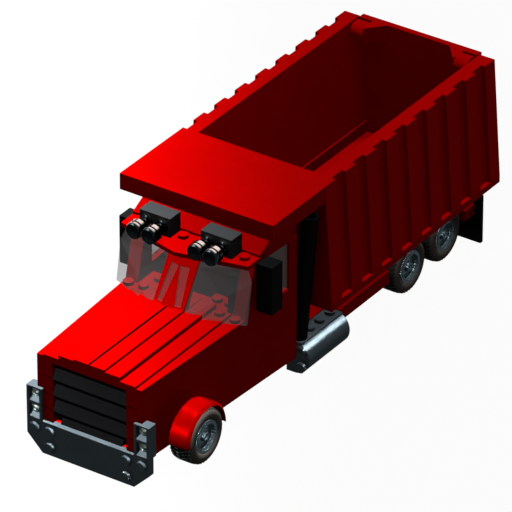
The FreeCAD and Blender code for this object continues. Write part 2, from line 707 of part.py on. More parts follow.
def roof_lamp(x):
    """A round lamp on a flanged neck, pointing forwards."""
    head = -ROOF_LAMP_LENGTH + ROOF_LAMP_HEAD
    section = [(-ROOF_LAMP_LENGTH, 0), (-ROOF_LAMP_LENGTH, ROOF_LAMP_RADIUS), (head, ROOF_LAMP_RADIUS),
               (head, ROOF_LAMP_NECK), (-ROOF_LAMP_FLANGE, ROOF_LAMP_NECK),
               (-ROOF_LAMP_FLANGE, ROOF_LAMP_FLANGE_RADIUS), (0, ROOF_LAMP_FLANGE_RADIUS), (0, 0)]
    return turned("y", section).translated(V(x, HOOD_REAR, VISOR_TOP + BOX_HEIGHT / 2))


def roof_lamps():
    """The four round roof lamps."""
    left = [roof_lamp(BOX_INNER + BOX_WIDTH * share) for share in ROOF_LAMP_SHARES]
    return Part.makeCompound(left + [across(lamp) for lamp in left])


def mirror():
    """Left mirror block beside the front of the window."""
    front = WINDOW_FRONT - MIRROR_LEAD
    bottom = HOOD_EDGE + MIRROR_RISE
    out = SIDE_REAR_HALF + MIRROR_REACH
    block = box(SIDE_FRONT_HALF, out, front, front + MIRROR_DEPTH, bottom, bottom + MIRROR_HEIGHT)
    body = [(0, HOOD_FRONT), (side_half(HOOD_FRONT), HOOD_FRONT), (side_half(CAB_REAR), CAB_REAR),
            (0, CAB_REAR)]
    return block.cut(prism("xy", body, 0, VISOR_TOP))


# Chassis
def carrier(y):
    """Block under the beam that carries one axle."""
    front = y - CARRIER_HALF_LENGTH
    rear = y + CARRIER_HALF_LENGTH
    return box(-BEAM_HALF, BEAM_HALF, front, rear, DECK_BOTTOM - CARRIER_DROP, DECK_TOP)


def axle_bore(y):
    """Running bore for one axle."""
    return rod("x", -DECK_HALF, DECK_HALF, AXLE_RADIUS + RUNNING_FIT, y, TYRE_CENTRE_Z)


def chassis():
    """Deck, central beam and axle carriers."""
    deck_half = TANK_CENTRE_X - TANK_NECK
    beam_rear = FLAP_FRONT - FLAP_BEAM
    beam = box(-BEAM_HALF, BEAM_HALF, HOOD_FRONT + GRILLE_DEPTH, beam_rear, DECK_BOTTOM, DECK_TOP)
    front_deck = box(-deck_half, deck_half, CAB_FRONT, TANK_REAR, DECK_BOTTOM, DECK_TOP)
    rear_deck = box(-DECK_HALF, DECK_HALF, TANK_REAR, DECK_REAR, DECK_BOTTOM, DECK_TOP)
    stations = (FRONT_AXLE_Y, MIDDLE_AXLE_Y, REAR_AXLE_Y)
    body = fuse([beam, front_deck, rear_deck] + [carrier(y) for y in stations])
    return body.cut([axle_bore(y) for y in stations])


def frame_rail():
    """Left rail that carries the bed and its hinge."""
    rail = box(RAIL_INNER, BEAM_HALF, RAIL_FRONT, HINGE_Y, DECK_TOP, RAIL_TOP)
    boss = rod("x", RAIL_INNER, BEAM_HALF, HINGE_BOSS, HINGE_Y, HINGE_Z)
    bore = rod("x", RAIL_INNER - OVERRUN, BEAM_HALF + OVERRUN, PIN_RADIUS, HINGE_Y, HINGE_Z)
    return fuse([rail, boss]).cut(bore)


def bed_rest():
    """Cross piece on the rails that the lowered bed lies on."""
    return box(-BEAM_HALF, BEAM_HALF, RAIL_FRONT, RAIL_FRONT + REST_LENGTH, RAIL_TOP, BED_BOTTOM)


def hinge_pin():
    """Cross pin that the bed tips on."""
    return rod("x", -LUG_OUTER, LUG_OUTER, PIN_RADIUS, HINGE_Y, HINGE_Z)


def tank():
    """Left fuel tank: half round outside, flat inside, studs on top and on its front end."""
    x = TANK_CENTRE_X
    y0 = TANK_FRONT
    y1 = TANK_REAR
    z = TANK_BOTTOM + TANK_RADIUS
    round_part = rod("y", y0, y1, TANK_RADIUS, x, z)
    block = box(x - TANK_NECK, x, y0, y1, TANK_BOTTOM, TANK_TOP)
    seat = box(0, x - TANK_NECK, y0 - OVERRUN, y1 + OVERRUN, 0, DECK_TOP)
    top = box(x - TANK_NECK, x + TANK_NECK, y0, y1, TANK_TOP - PLATE, TANK_TOP)
    body = fuse([round_part, block, top]).cut(seat)
    rows = [(x, y0 + PITCH * step + HALF_PITCH) for step in range(1, int(TANK_LENGTH / PITCH))]
    front = [(x + TANK_NECK, z - HALF_PITCH), (x + TANK_NECK, z + HALF_PITCH)]
    return fuse([body] + studs_up(rows, TANK_TOP) + studs_forward(front, y0))


def exhaust():
    """Left exhaust pipe standing on the tank, leaning outwards, open at the top."""
    foot = V(TANK_CENTRE_X, PIPE_Y, TANK_TOP)
    way = V(PIPE_LEAN, 0, PIPE_TOP - foot.z)
    length = way.Length
    sunk = way * (-PIPE_RADIUS / length)
    pipe = Part.makeCylinder(PIPE_RADIUS, length + PIPE_RADIUS, foot + sunk, way)
    mouth = foot + way * ((length - PIPE_BORE_DEPTH) / length)
    pipe = pipe.cut(Part.makeCylinder(PIPE_BORE, PIPE_BORE_DEPTH + OVERRUN, mouth, way))
    under = box(0, FOOT_OUT, CAB_REAR, TANK_REAR, 0, foot.z)
    return pipe.cut(under)


def flap_bracket():
    """Cross beam and arms behind the tandem that carry the mud flaps."""
    top = FLAP_ARM_BOTTOM + FLAP_ARM_HEIGHT
    front = FLAP_FRONT - FLAP_BEAM
    beam = box(-FLAP_ARM_OUT, FLAP_ARM_OUT, front, FLAP_FRONT, FLAP_ARM_BOTTOM, top)
    arm = box(FLAP_ARM_OUT - PLATE, FLAP_ARM_OUT, FLAP_FRONT - PITCH, FLAP_FRONT, FLAP_ARM_BOTTOM, top)
    web = box(-BEAM_HALF, BEAM_HALF, front, FLAP_FRONT, DECK_BOTTOM, FLAP_ARM_BOTTOM)
    return fuse([beam, arm, across(arm), web]).cut([frame_rail(), across(frame_rail())])


def mud_flap():
    """Left mud flap behind the tandem."""
    rear = FLAP_FRONT + FLAP_THICK
    return box(FLAP_INNER, FLAP_OUTER, FLAP_FRONT, rear, FLAP_BOTTOM, FLAP_BOTTOM + FLAP_HEIGHT)


# Bed
def wall_outer(z):
    """Outer half width of the bed side at a height."""
    return FOOT_OUT - BED_LEAN * (z - BED_FLOOR) / (BED_RIM - BED_FLOOR)


def wall_inner(z):
    """Inner half width of the bed side above its shelf."""
    return SHELF_IN + INNER_LEAN * (z - SHELF_Z) / (BED_RIM - SHELF_Z)


def rib_recess(y):
    """The hollow between two ribs of the left side."""
    top = BED_RIM + OVERRUN
    face = [(wall_outer(BED_FLOOR), BED_FLOOR), (wall_outer(top), top)]
    outline = [(x + OVERRUN, z) for x, z in face] + [(x - RIB_DEPTH, z) for x, z in reversed(face)]
    return prism("xz", outline, y, y + RIB_GAP)


def bed_wall():
    """Left ribbed bed side, leaning outwards to its foot."""
    outline = [(FOOT_OUT, BED_FLOOR), (RIM_OUT, BED_RIM), (RIM_IN, BED_RIM), (SHELF_IN, SHELF_Z),
               (FOOT_IN, SHELF_Z), (FOOT_IN, BED_FLOOR)]
    wall = prism("xz", outline, BED_FRONT, BED_REAR)
    spacing = RIB_WIDTH + RIB_GAP
    starts = [BED_FRONT + RIB_WIDTH + spacing * step for step in range(int(BED_LENGTH / spacing))]
    wall = wall.cut([rib_recess(y) for y in starts])
    pin = rod("x", RIM_IN - GATE_PIN_REACH, RIM_IN + HALF_PITCH, GATE_PIN_RADIUS, GATE_HINGE_Y, GATE_HINGE_Z)
    return fuse([wall, pin])


def bed_front():
    """Front wall of the bed between its sides."""
    top = CANOPY_BOTTOM
    outline = [(FOOT_IN, BED_FLOOR), (FOOT_IN, SHELF_Z), (SHELF_IN, SHELF_Z), (wall_inner(top), top)]
    outline += [(-x, z) for x, z in reversed(outline)]
    return prism("xz", outline, BED_FRONT, BED_FRONT + FRONT_WALL)


def canopy():
    """Flat guard over the cab that runs back to the bed's front wall."""
    z0 = CANOPY_BOTTOM
    ahead = box(-RIM_OUT, RIM_OUT, VISOR_REAR, BED_FRONT, z0, BED_RIM)
    outline = [(wall_inner(z0), z0), (RIM_IN, BED_RIM), (-RIM_IN, BED_RIM), (-wall_inner(z0), z0)]
    tail = prism("xz", outline, BED_FRONT, BED_FRONT + FRONT_WALL)
    return fuse([ahead, tail])


def bed_floor():
    """Floor plate of the bed, out to the feet of its sides."""
    return box(-FOOT_OUT, FOOT_OUT, BED_FRONT, BED_REAR, BED_BOTTOM, BED_FLOOR)


def hinge_lug():
    """Left lug under the bed floor that turns on the cross pin."""
    plate = box(LUG_INNER, LUG_OUTER, HINGE_Y - HINGE_BOSS, HINGE_Y + HINGE_BOSS, HINGE_Z, BED_BOTTOM)
    boss = rod("x", LUG_INNER, LUG_OUTER, HINGE_BOSS, HINGE_Y, HINGE_Z)
    bore = rod("x", LUG_INNER - OVERRUN, LUG_OUTER + OVERRUN, PIN_RADIUS + RUNNING_FIT, HINGE_Y, HINGE_Z)
    return fuse([plate, boss]).cut(bore)


# Tailgate
def gate_arm():
    """Left hinge arm of the tailgate with its knuckle and the slot in its top."""
    low = GATE_HINGE_Z - GATE_KNUCKLE
    out = wall_inner(low) - GATE_GAP
    arm = box(GATE_ARM_IN, out, GATE_HINGE_Y, GATE_INSIDE, low, BED_RIM)
    gusset = prism("xy", [(GATE_ARM_IN - GATE_TOE, GATE_INSIDE), (GATE_ARM_IN, GATE_HINGE_Y - GATE_KNUCKLE),
                          (GATE_ARM_IN, GATE_INSIDE)], low, BED_RIM)
    knuckle = rod("x", GATE_ARM_IN, out, GATE_KNUCKLE, GATE_HINGE_Y, GATE_HINGE_Z)
    bore = rod("x", RIM_IN - GATE_PIN_REACH - GATE_GAP, RIM_IN, GATE_PIN_RADIUS + RUNNING_FIT,
               GATE_HINGE_Y, GATE_HINGE_Z)
    slot_rear = GATE_INSIDE - GATE_SLOT_WALL
    slot = box(GATE_ARM_IN + GATE_GAP, out + OVERRUN, slot_rear - GATE_SLOT_WIDTH, slot_rear,
               BED_RIM - GATE_SLOT_DEPTH, BED_RIM)
    return fuse([arm, gusset, knuckle]).cut([bore, slot])


def tailgate():
    """Tailgate panel between the bed sides, hung from its top corners."""
    gap = GATE_GAP
    foot = FOOT_IN - gap
    outline = [(foot, BED_FLOOR + gap), (foot, SHELF_Z), (SHELF_IN - gap, SHELF_Z + gap),
               (RIM_IN - gap, BED_RIM)]
    outline += [(-x, z) for x, z in reversed(outline)]
    panel = prism("xz", outline, GATE_INSIDE, GATE_OUTSIDE)
    return fuse([panel, gate_arm(), across(gate_arm())])


def pieces():
    """Every piece by its node name."""
    nodes = {
        "bumper": bumper(),
        "lamp_columns": both_sides(lamp_column()),
        "headlamp_lenses": lamp_lenses(),
        "hood": hood(),
        "grille_louvres": grille(),
        "left_hood_side": hood_side(),
        "right_hood_side": across(hood_side()),
        "hood_shoulders": both_sides(hood_shoulder()),
        "left_mudguard": mudguard(),
        "right_mudguard": across(mudguard()),
        "left_cab_side": cab_side(),
        "right_cab_side": across(cab_side()),
        "window_panes": both_sides(window_pane()),
        "corner_pillars": both_sides(corner_pillar()),
        "cab_rear_wall": cab_rear(),
        "cab_floor": cab_floor(),
        "cowl": cowl(),
        "screen_post": screen_post(),
        "left_screen_pane": screen_pane(),
        "right_screen_pane": across(screen_pane()),
        "centre_pillar": centre_pillar(),
        "pillar_strips": both_sides(pillar_strip()),
        "visor": visor(),
        "roof": roof(),
        "roof_lamp_boxes": both_sides(lamp_box()),
        "roof_lamps": roof_lamps(),
        "mirrors": both_sides(mirror()),
        "chassis": chassis(),
        "frame_rails": both_sides(frame_rail()),
        "bed_rest": bed_rest(),
        "bed_hinge_pin": hinge_pin(),
        "fuel_tanks": both_sides(tank()),
        "exhausts": both_sides(exhaust()),
        "flap_bracket": flap_bracket(),
        "mud_flaps": both_sides(mud_flap()),
        "left_bed_side": bed_wall(),
        "right_bed_side": across(bed_wall()),
        "bed_front_wall": bed_front(),
        "bed_canopy": canopy(),
        "bed_floor": bed_floor(),
        "bed_hinge_lugs": both_sides(hinge_lug()),
        "tailgate": tailgate(),
    }
    nodes.update(axle_set("front", FRONT_AXLE_Y, FRONT_WHEEL_FACE))
    nodes.update(axle_set("middle", MIDDLE_AXLE_Y, MIDDLE_WHEEL_FACE))
    nodes.update(axle_set("rear", REAR_AXLE_Y, REAR_WHEEL_FACE))
    return nodes


def write(nodes):
    """One file per node, moved so that the origin is under the middle of the truck."""
    os.makedirs("parts", exist_ok=True)
    for name, shape in nodes.items():
        shape.translated(V(0, -MIDDLE_Y, 0)).exportStep("parts/" + name + ".step")


write(pieces())
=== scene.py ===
"""Looks of the brick-built toy dump truck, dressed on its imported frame. Lengths in metres."""
import bpy
import json
import math
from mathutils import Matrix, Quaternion, Vector


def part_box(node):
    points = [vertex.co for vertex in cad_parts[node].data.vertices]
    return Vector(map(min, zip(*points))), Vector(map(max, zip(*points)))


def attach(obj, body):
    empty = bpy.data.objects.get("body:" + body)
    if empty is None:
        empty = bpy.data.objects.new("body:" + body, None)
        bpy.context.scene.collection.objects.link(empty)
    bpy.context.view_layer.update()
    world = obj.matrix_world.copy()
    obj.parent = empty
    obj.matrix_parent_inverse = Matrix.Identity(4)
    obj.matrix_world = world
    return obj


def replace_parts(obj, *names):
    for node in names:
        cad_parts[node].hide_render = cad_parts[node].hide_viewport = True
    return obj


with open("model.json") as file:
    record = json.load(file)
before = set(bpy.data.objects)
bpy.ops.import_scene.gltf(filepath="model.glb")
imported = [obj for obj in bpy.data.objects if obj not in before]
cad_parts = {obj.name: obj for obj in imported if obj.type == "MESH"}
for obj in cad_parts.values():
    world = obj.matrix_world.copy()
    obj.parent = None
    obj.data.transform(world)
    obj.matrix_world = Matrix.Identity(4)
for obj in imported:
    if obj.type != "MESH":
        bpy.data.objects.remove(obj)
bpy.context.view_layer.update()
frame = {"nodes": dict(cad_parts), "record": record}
NODES = frame["nodes"]
MM = 0.001
WHITE = (1.0, 1.0, 1.0, 1.0)


# Node helpers
def node(tree, kind, **values):
    """A shader node; a value whose key starts with s_ goes to the socket of that name."""
    made = tree.nodes.new(kind)
    for key, value in values.items():
        if key.startswith("s_"):
            made.inputs[key[2:].replace("_", " ")].default_value = value
        else:
            setattr(made, key, value)
    return made


def fresh(name):
    """A new material and its emptied tree."""
    mat = bpy.data.materials.new(name)
    mat.use_nodes = True
    mat.node_tree.nodes.clear()
    return mat, mat.node_tree


def srgb(r, g, b):
    """A display colour as linear light, by the standard curve."""
    def one(c):
        c = c / 255
        return c / 12.92 if c <= 0.04045 else ((c + 0.055) / 1.055) ** 2.4
    return one(r), one(g), one(b), 1.0


def scaled(colour, share):
    """The colour made lighter or darker."""
    return tuple(min(c * share, 1.0) for c in colour[:3]) + (1.0,)


def noise(tree, coords, scale, detail=2.0):
    """A noise texture on the object's own coordinates."""
    made = node(tree, "ShaderNodeTexNoise", s_Scale=scale, s_Detail=detail)
    tree.links.new(coords.outputs["Object"], made.inputs["Vector"])
    return made


def spread(tree, source, low, high, bottom=0.35, top=0.65):
    """A value, cut to bottom and top, spread from low to high. The defaults are a noise's middle."""
    made = node(tree, "ShaderNodeMapRange")
    made.inputs["From Min"].default_value = bottom
    made.inputs["From Max"].default_value = top
    made.inputs["To Min"].default_value = low
    made.inputs["To Max"].default_value = high
    tree.links.new(source, made.inputs["Value"])
    return made.outputs["Result"]


COLOUR_A = 6
COLOUR_B = 7
COLOUR_RESULT = 2


def blend(tree, share, first, second):
    """Two colours blended by a share."""
    mix = node(tree, "ShaderNodeMix", data_type="RGBA")
    mix.inputs[COLOUR_A].default_value = first
    mix.inputs[COLOUR_B].default_value = second
    tree.links.new(share, mix.inputs["Factor"])
    return mix.outputs[COLOUR_RESULT]


def mixed(tree, share, first, second):
    """Two shaders mixed by a share, which is a number or a socket."""
    mix = node(tree, "ShaderNodeMixShader")
    if isinstance(share, float):
        mix.inputs["Fac"].default_value = share
    else:
        tree.links.new(share, mix.inputs["Fac"])
    tree.links.new(first.outputs[0], mix.inputs[1])
    tree.links.new(second.outputs[0], mix.inputs[2])
    return mix


def seen_or_mirrored(tree):
    """1 where the camera looks at a surface, directly, in a gloss or through glass, and else 0."""
    path = node(tree, "ShaderNodeLightPath")
    share = path.outputs["Is Camera Ray"]
    for ray in ("Is Glossy Ray", "Is Transmission Ray"):
        either = node(tree, "ShaderNodeMath", operation="MAXIMUM")
        tree.links.new(share, either.inputs[0])
        tree.links.new(path.outputs[ray], either.inputs[1])
        share = either.outputs[0]
    return share


def finish_tree(tree, shader, kind="ShaderNodeOutputMaterial"):
    """The tree's output node, fed by its shader."""
    out = node(tree, kind)
    tree.links.new(shader.outputs[0], out.inputs["Surface"])


# Materials
FLOW_SCALE = 45.0
GLOSS_SCALE = 160.0
GLOSS_DETAIL = 3.0
GRAIN_SCALE = 900.0
GRAIN_DEPTH = 0.00006
EDGE_RADIUS = 0.00018
EDGE_SAMPLES = 4


def moulded(name, colour, rough, tone=0.06, peel=0.12, specular=0.0, **sockets):
    """Moulded plastic or rubber: flow marks, orange peel, uneven gloss and softened edges."""
    mat, tree = fresh(name)
    link = tree.links.new
    coords = node(tree, "ShaderNodeTexCoord")
    flow = noise(tree, coords, FLOW_SCALE)
    gloss = noise(tree, coords, GLOSS_SCALE, GLOSS_DETAIL)
    grain = noise(tree, coords, GRAIN_SCALE)
    marks = spread(tree, flow.outputs["Fac"], 0.0, 1.0)
    tint = blend(tree, marks, scaled(colour, 1 - tone), scaled(colour, 1 + tone))
    bevel = node(tree, "ShaderNodeBevel", samples=EDGE_SAMPLES, s_Radius=EDGE_RADIUS)
    bump = node(tree, "ShaderNodeBump", s_Strength=peel, s_Distance=GRAIN_DEPTH)
    link(grain.outputs["Fac"], bump.inputs["Height"])
    link(bevel.outputs["Normal"], bump.inputs["Normal"])
    shader = node(tree, "ShaderNodeBsdfPrincipled", s_Specular_IOR_Level=specular, **sockets)
    link(tint, shader.inputs["Base Color"])
    link(spread(tree, gloss.outputs["Fac"], *rough), shader.inputs["Roughness"])
    link(bump.outputs["Normal"], shader.inputs["Normal"])
    finish_tree(tree, shader)
    return mat


RED = moulded("red_abs", srgb(232, 1, 0), (0.2, 0.28), tone=0.03, s_Metallic=0.02)
BLACK = moulded("black_abs", srgb(38, 41, 42), (0.2, 0.32), s_Metallic=0.02)
GREY = moulded("dark_grey_abs", srgb(114, 129, 137), (0.2, 0.26), s_Metallic=0.03)
BOX_GREY = moulded("shade_grey_abs", srgb(84, 88, 90), (0.24, 0.34))
# The louvres are darker than the black plastic: painted shade for the recessed grille
GRILLE_PAINTED_SHADE = moulded("grille_black_painted_shade", srgb(31, 32, 33), (0.24, 0.34))
RIM = moulded("rim_grey_abs", srgb(128, 150, 160), (0.14, 0.22), tone=0.04, s_Metallic=0.1)
# The side wall rubber is coloured far lighter than the tread rubber: painted light that stands in for the
# little light its upright faces get
WALL_RUBBER_PAINTED_LIGHT = moulded("tyre_rubber", srgb(158, 148, 140), (0.55, 0.75), peel=0.3)
TREAD = moulded("tread_rubber", srgb(90, 96, 98), (0.55, 0.75), tone=0.12, peel=0.5)
SEAM = moulded("joint_shadow", srgb(14, 10, 10), (0.4, 0.5))
LAMP_FACE = moulded("lamp_face_abs", srgb(56, 70, 74), (0.2, 0.3), tone=0.05)
# The panes glow faintly white: painted light that stands in for the lit veil of the smoke glass
CLEAR = moulded("clear_smoke_abs", srgb(92, 92, 93), (0.05, 0.1), tone=0.02, peel=0.03,
                s_Alpha=0.35, s_Emission_Color=WHITE, s_Emission_Strength=0.036)
LENS = moulded("lens_clear_abs", srgb(170, 190, 182), (0.05, 0.12), tone=0.04, peel=0.03, specular=0.05)

# Painted highlight on the chrome: how steeply up, and how little to front or back, a face points to be
# painted bright
HIGHLIGHT_RISE = (0.7, 0.85)
HIGHLIGHT_STRAY = (0.04, 0.12)
CHROME_SCALE = 260.0
CHROME_ROUGH = (0.1, 0.18)


def chrome_with_painted_highlight(name, dark, bright):
    """Dark chrome with a painted highlight: bright where a straight ring faces up, steeply up and hardly to
    front or back.
    """
    mat, tree = fresh(name)
    link = tree.links.new
    coords = node(tree, "ShaderNodeTexCoord")
    geometry = node(tree, "ShaderNodeNewGeometry")
    split = node(tree, "ShaderNodeSeparateXYZ")
    link(geometry.outputs["Normal"], split.inputs["Vector"])
    stray = node(tree, "ShaderNodeMath", operation="ABSOLUTE")
    link(split.outputs["Y"], stray.inputs[0])
    # The share of painted highlight on this face
    highlight_share = node(tree, "ShaderNodeMath", operation="MULTIPLY")
    link(spread(tree, split.outputs["Z"], 0.0, 1.0, *HIGHLIGHT_RISE), highlight_share.inputs[0])
    link(spread(tree, stray.outputs[0], 1.0, 0.0, *HIGHLIGHT_STRAY), highlight_share.inputs[1])
    gloss = noise(tree, coords, CHROME_SCALE, GLOSS_DETAIL)
    shader = node(tree, "ShaderNodeBsdfPrincipled", s_Metallic=1.0)
    link(blend(tree, highlight_share.outputs[0], dark, bright), shader.inputs["Base Color"])
    link(spread(tree, gloss.outputs["Fac"], *CHROME_ROUGH), shader.inputs["Roughness"])
    finish_tree(tree, shader)
    return mat


# The pale colour is a painted highlight on the rings that face up
PAINTED_HIGHLIGHT_CHROME = chrome_with_painted_highlight("dark_chrome_painted_highlight", srgb(18, 24, 26), srgb(236, 216, 210))

FINISH = {
    "red_plastic": RED,
    "black_plastic": BLACK,
    "dark_grey_plastic": GREY,
    "clear_plastic": CLEAR,
    "chromed_plastic": PAINTED_HIGHLIGHT_CHROME,
    "tyre_rubber": WALL_RUBBER_PAINTED_LIGHT,
}


def dress_nodes():
    """Every CAD node takes the finish of its slot in the record; the roof lamp boxes then take their own
    grey, and the grille louvres a darker black that is painted shade.
    """
    for entry in frame["record"]["subparts"]:
        mesh = NODES[entry["node"]].data
        mesh.materials.clear()
        mesh.materials.append(FINISH[entry["material_slot"]])
    NODES["roof_lamp_boxes"].data.materials[0] = BOX_GREY
    # Painted shade: the louvres take a darker copy of the black plastic
    NODES["grille_louvres"].data.materials[0] = GRILLE_PAINTED_SHADE


# Mesh pieces
BLOCK_QUADS = [(3, 2, 1, 0), (4, 5, 6, 7), (0, 1, 5, 4), (1, 2, 6, 5), (2, 3, 7, 6), (3, 0, 4, 7)]


class Shape:
    """Vertices and faces gathered for one piece."""

    def __init__(self):
        self.verts = []
        self.faces = []

    def lathe(self, section, steps, centre, way=1, axis="x", teeth=(1, 0.0)):
        """A surface turned about X or Y.

        The section holds (place along the axis, radius) in millimetres, and teeth are
        (count, depth in millimetres). A way of -1 turns the section round.
        """
        start = len(self.verts)
        count, depth = teeth
        half = steps // (2 * count)
        notch = depth * MM
        for place, radius in section:
            out = way * (place * MM)
            for step in range(steps):
                turn = 2 * math.pi * step / steps
                cut = radius * MM - notch * (step // half % 2)
                side = cut * math.cos(turn)
                rise = centre[2] + cut * math.sin(turn)
                if axis == "x":
                    spot = (centre[0] + out, centre[1] + side, rise)
                else:
                    spot = (centre[0] - side, centre[1] + out, rise)
                self.verts.append(spot)
        for row in range(len(section) - 1):
            for step in range(steps):
                a = start + row * steps + step
                b = start + row * steps + (step + 1) % steps
                quad = (a, b, b + steps, a + steps)
                self.faces.append(quad if way > 0 else quad[::-1])

    def block(self, low, high):
        """A six-sided block from four low and four high corners."""
        start = len(self.verts)
        self.verts += list(low) + list(high)
        for quad in BLOCK_QUADS:
            self.faces.append(tuple(start + i for i in quad))

    def piece(self, name, material, body, sharp=35.0):
        """The gathered mesh as a piece that rides on a body."""
        mesh = bpy.data.meshes.new(name)
        mesh.from_pydata(self.verts, [], self.faces)
        mesh.validate()
        mesh.shade_smooth()
        mesh.set_sharp_from_angle(angle=math.radians(sharp))
        mesh.materials.append(material)
        made = bpy.data.objects.new(name, mesh)
        bpy.context.scene.collection.objects.link(made)
        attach(made, body)
        return made


# Wheels: sections are (outwards from the wheel's face, radius) in millimetres
WALL_SECTION = [(-0.8, 7.6), (-0.1, 7.65), (0.3, 8.0), (0.7, 8.8), (0.85, 9.8), (0.75, 10.9), (0.3, 11.8),
                (-0.5, 12.4)]
BACK_SECTION = [(-9.9, 12.4), (-10.2, 11.6), (-10.35, 10.4), (-10.3, 9.2), (-10.0, 8.2), (-9.6, 7.6)]
BORE_SECTION = [(-9.6, 7.6), (-0.8, 7.6)]
CROWN_SECTION = [(-0.5, 12.4), (-1.5, 12.75), (-5.2, 12.8), (-8.9, 12.75), (-9.9, 12.4)]
WALL_PARTS = 2
WHEEL_STEPS = 96

# Lug rows: outer end, inner end, turn in lug pitches, radius at the outer end
LUG_ROWS = [(-0.15, -2.2, 0.0, 12.55), (-2.9, -4.8, 0.5, 13.0), (-7.5, -5.6, 0.0, 13.0),
            (-10.2, -8.2, 0.5, 12.55)]
LUG_COUNT = 38
LUG_FILL = 0.5
LUG_SKEW = 0.4
LUG_BASE = 12.3
LUG_TOP = 13.0


def refined(section, parts):
    """The section with every span cut into equal parts."""
    out = []
    for (x0, r0), (x1, r1) in zip(section, section[1:]):
        for part in range(parts):
            share = part / parts
            out.append((x0 + (x1 - x0) * share, r0 + (r1 - r0) * share))
    out.append(section[-1])
    return out


def lug(shape, centre, way, x0, x1, shift, edge, step):
    """One tread lug, whose outer end is lowered to the edge radius."""
    mid = 2 * math.pi * (step + shift) / LUG_COUNT
    half = math.pi / LUG_COUNT * LUG_FILL
    skew = LUG_SKEW * half

    def at(x, radius, turn):
        return (centre[0] + way * x * MM, centre[1] + radius * MM * math.cos(turn),
                centre[2] + radius * MM * math.sin(turn))

    places = [(x0, edge, -half - skew), (x0, edge, half - skew),
              (x1, LUG_TOP, half + skew), (x1, LUG_TOP, -half + skew)]
    low = [at(x, LUG_BASE - (LUG_TOP - radius), mid + side) for x, radius, side in places]
    high = [at(x, radius, mid + side) for x, radius, side in places]
    shape.block(low, high)


def make_tyre(name, cad, body, centre, way):
    """A tyre with bulging side walls and four rows of fine lugs."""
    wall = Shape()
    wall.lathe(refined(WALL_SECTION, WALL_PARTS), WHEEL_STEPS, centre, way)
    wall.lathe(refined(BACK_SECTION, WALL_PARTS), WHEEL_STEPS, centre, way)
    wall.lathe(BORE_SECTION, WHEEL_STEPS, centre, way)
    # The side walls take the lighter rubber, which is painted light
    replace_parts(wall.piece(name, WALL_RUBBER_PAINTED_LIGHT, body), cad)
    tread = Shape()
    tread.lathe(CROWN_SECTION, WHEEL_STEPS, centre, way)
    for step in range(LUG_COUNT):
        for x0, x1, shift, edge in LUG_ROWS:
            lug(tread, centre, way, x0, x1, shift, edge, step)
    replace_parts(tread.piece(name + "_tread", TREAD, body), cad)


RIM_FLANGE = [(-0.6, 7.72), (0.55, 7.72)]
RIM_FACE = [(0.55, 7.72), (0.55, 6.5), (0.85, 6.45), (0.85, 6.1)]
RIM_WALL = [(0.85, 6.1), (0.6, 5.95), (-1.2, 5.93)]
RIM_FLOOR = [(-1.2, 6.1), (-1.2, 2.0), (0.4, 1.95), (0.5, 1.85), (0.5, 1.1), (-0.4, 1.0), (-0.4, 0.02)]
RIM_BACK = [(-8.2, 0.02), (-8.2, 7.2), (-9.7, 7.5), (-9.7, 7.62)]
FLANGE_TEETH = (48, 0.2)
WALL_TEETH = (24, 0.22)


def make_rim(name, cad, body, centre, way):
    """A rim with a notched flange, a raised ring, a fluted well and a hub."""
    shape = Shape()
    shape.lathe(RIM_FLANGE, WHEEL_STEPS, centre, way, teeth=FLANGE_TEETH)
    shape.lathe(RIM_FACE, WHEEL_STEPS, centre, way)
    shape.lathe(RIM_WALL, WHEEL_STEPS, centre, way, teeth=WALL_TEETH)
    shape.lathe(RIM_FLOOR, WHEEL_STEPS, centre, way)
    shape.lathe(RIM_BACK, WHEEL_STEPS, centre, way)
    rim = shape.piece(name, RIM, body)
    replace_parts(rim, cad)
    return rim


def make_wheels():
    """Tyres and rims of the three wheelsets; returns the rims."""
    rims = []
    for place in ("front", "middle", "rear"):
        low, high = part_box(place + "_tyres")
        body = place + "_wheelset"
        for side, way in (("left", 1), ("right", -1)):
            face = high.x if way > 0 else low.x
            centre = (face, (low.y + high.y) / 2, (low.z + high.z) / 2)
            make_tyre(f"{place}_{side}_tyre", place + "_tyres", body, centre, way)
            rims.append(make_rim(f"{place}_{side}_rim", place + "_rims", body, centre, way))
    return rims


# Roof lamps and lenses: sections are (place along Y from the node's end, radius) in millimetres
LAMP_SECTION = [(0.0, 0.02), (0.0, 2.9), (-0.6, 2.9), (-0.9, 2.75), (-1.1, 2.2), (-1.1, 1.9), (-2.2, 2.1),
                (-2.2, 2.3), (-2.7, 2.3), (-2.7, 2.1), (-3.2, 2.2), (-4.9, 3.4), (-5.9, 3.7), (-6.0, 3.9),
                (-8.0, 3.9), (-8.1, 3.6), (-8.9, 3.75), (-9.0, 3.9), (-9.9, 3.9), (-10.6, 3.8), (-11.1, 3.6),
                (-11.2, 3.4)]
LAMP_FACE_SECTION = [(-11.2, 3.4), (-11.15, 2.6), (-11.05, 1.2), (-11.0, 0.02)]
LAMP_SPACING = 8.0 * MM
LAMP_STEPS = 48
LAMP_SHARP = 9.0


